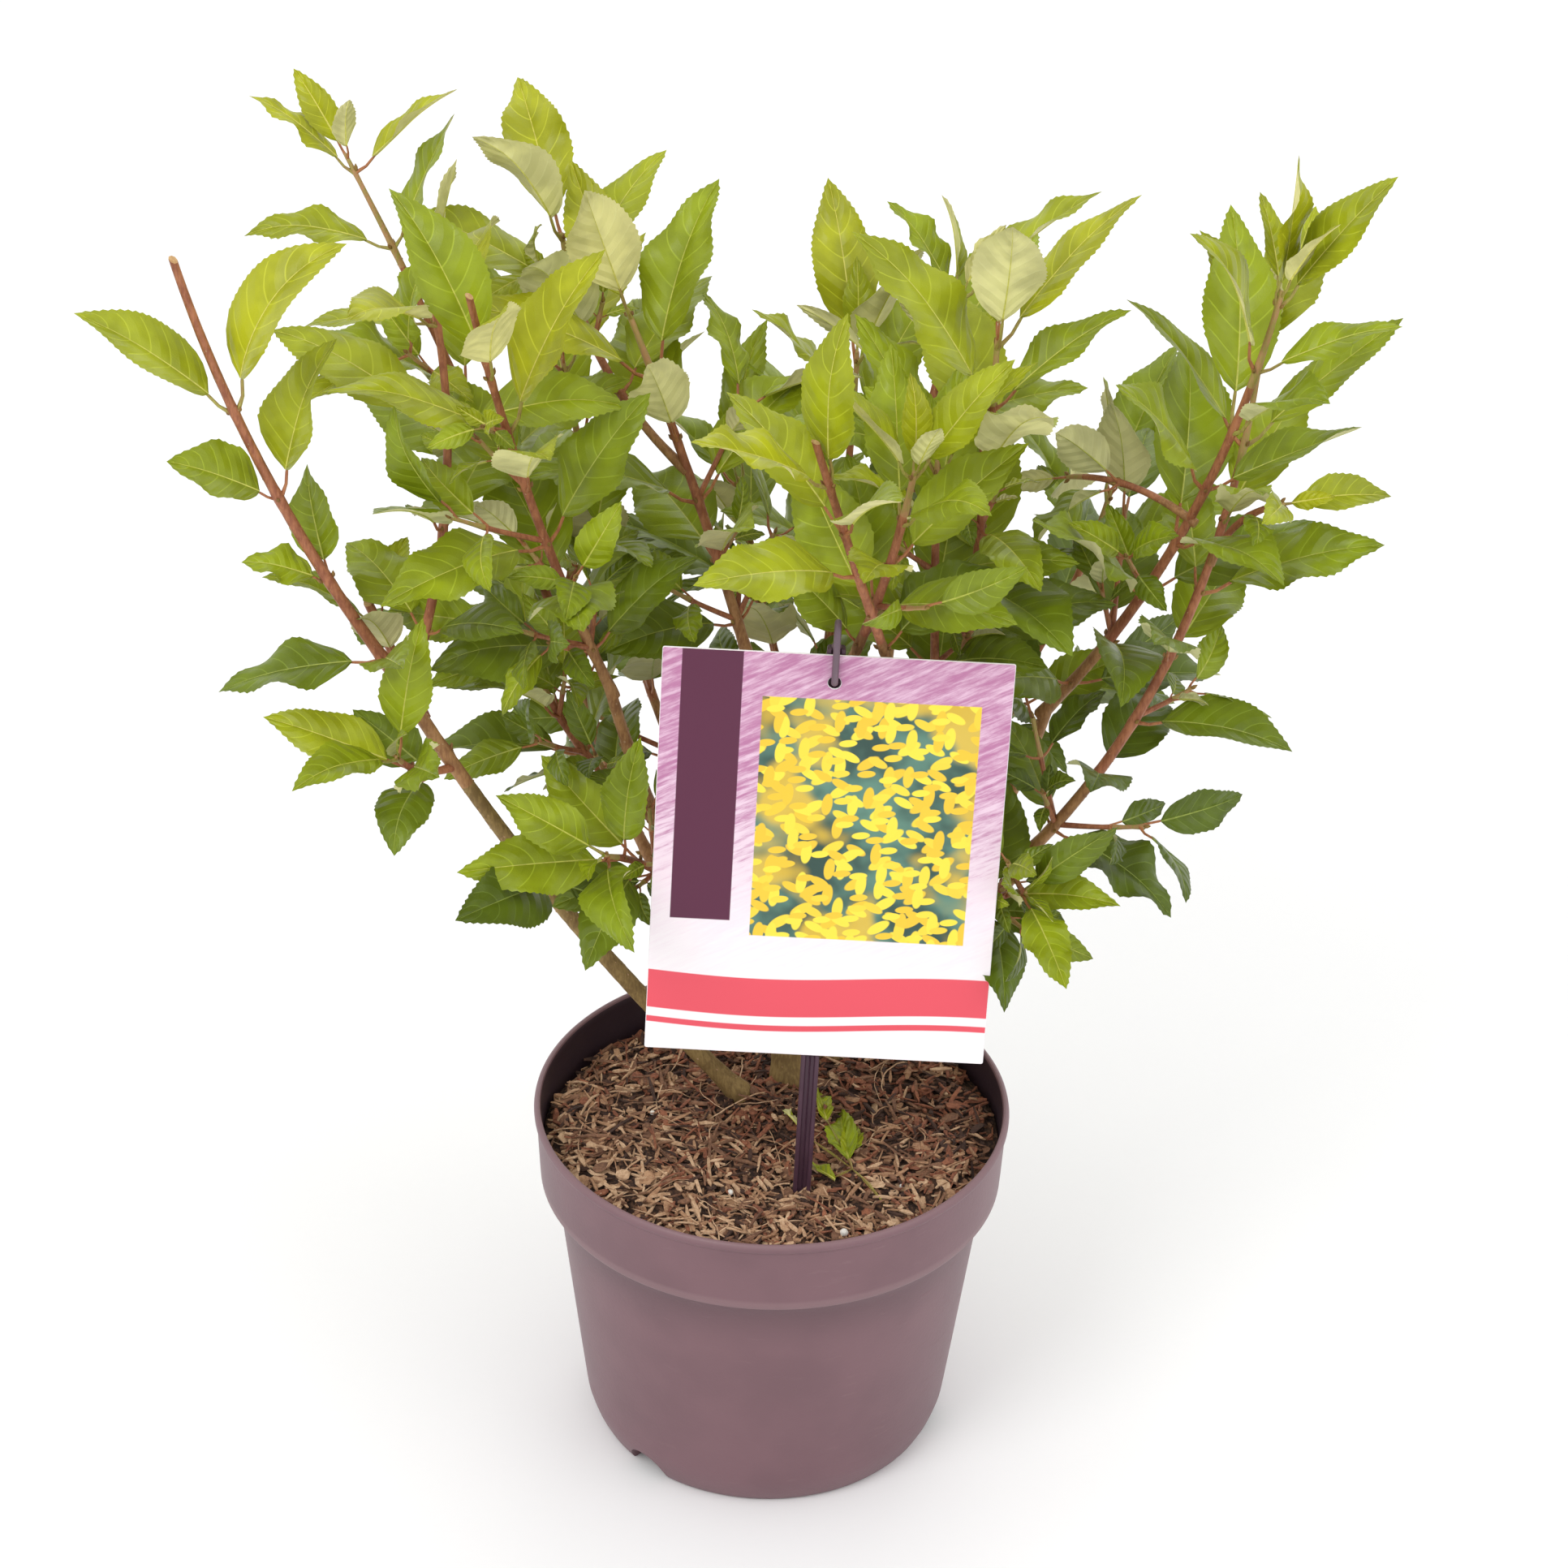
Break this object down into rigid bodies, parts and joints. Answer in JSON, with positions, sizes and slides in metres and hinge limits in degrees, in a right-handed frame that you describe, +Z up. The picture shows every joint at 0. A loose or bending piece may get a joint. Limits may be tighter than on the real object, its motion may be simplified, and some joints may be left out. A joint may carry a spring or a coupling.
{
  "type": "potted forsythia shrub",
  "caption": "Young leafy shrub of arching stems with opposite toothed leaves, growing in a round plastic nursery pot with a plant label on a stick.",
  "frame": {"origin": "centre of the pot's flat underside", "axes": "+Z up, from the pot's underside to the crown; -Y towards the face of the plant label; +X to the right of someone who faces the label"},
  "size_m": [0.4796, 0.299, 0.5664],
  "materials": {
    "pot_plastic": "matt, plum mauve",
    "bark_mix": "coarse bark chips and fibre, dry on top",
    "card_print": "satin printed card",
    "stick_plastic": "dark plum, grooved",
    "hook_plastic": "smoky plum",
    "bark": "smooth young bark with pale lenticels",
    "leaf_green": "satin green leaf"
  },
  "bodies": {
    "root": {"pot_shell": "pot_plastic", "potting_mix": "bark_mix", "label_card": "card_print", "label_stick": "stick_plastic", "label_hook": "hook_plastic", "stem_left": "bark", "stem_middle": "bark", "stem_back": "bark", "bough_front_left": "bark", "bough_middle": "bark", "bough_back_left": "bark", "bough_front": "bark", "bough_front_right": "bark", "bough_right_middle": "bark", "bough_back_middle": "bark", "bough_right": "bark", "bough_right_front": "bark", "bough_back": "bark", "bough_back_right": "bark", "bough_far_left": "bark", "foliage_left_outer": "leaf_green", "foliage_left_inner": "leaf_green", "foliage_left_stub": "leaf_green", "foliage_left_twig": "leaf_green", "foliage_left_foot": "leaf_green", "foliage_front_left": "leaf_green", "foliage_back_left": "leaf_green", "foliage_middle": "leaf_green", "foliage_upper_left": "leaf_green", "foliage_front": "leaf_green", "foliage_front_right": "leaf_green", "foliage_heart": "leaf_green", "foliage_right_middle": "leaf_green", "foliage_back_middle": "leaf_green", "foliage_right_inner": "leaf_green", "foliage_right_outer": "leaf_green", "foliage_right_arm": "leaf_green", "foliage_right_tip_twig": "leaf_green", "foliage_right_low": "leaf_green", "foliage_left_low": "leaf_green", "foliage_left_heart": "leaf_green", "foliage_back": "leaf_green", "foliage_back_low": "leaf_green", "foliage_back_right": "leaf_green", "foliage_far_left": "leaf_green"}
  },
  "joints": []
}
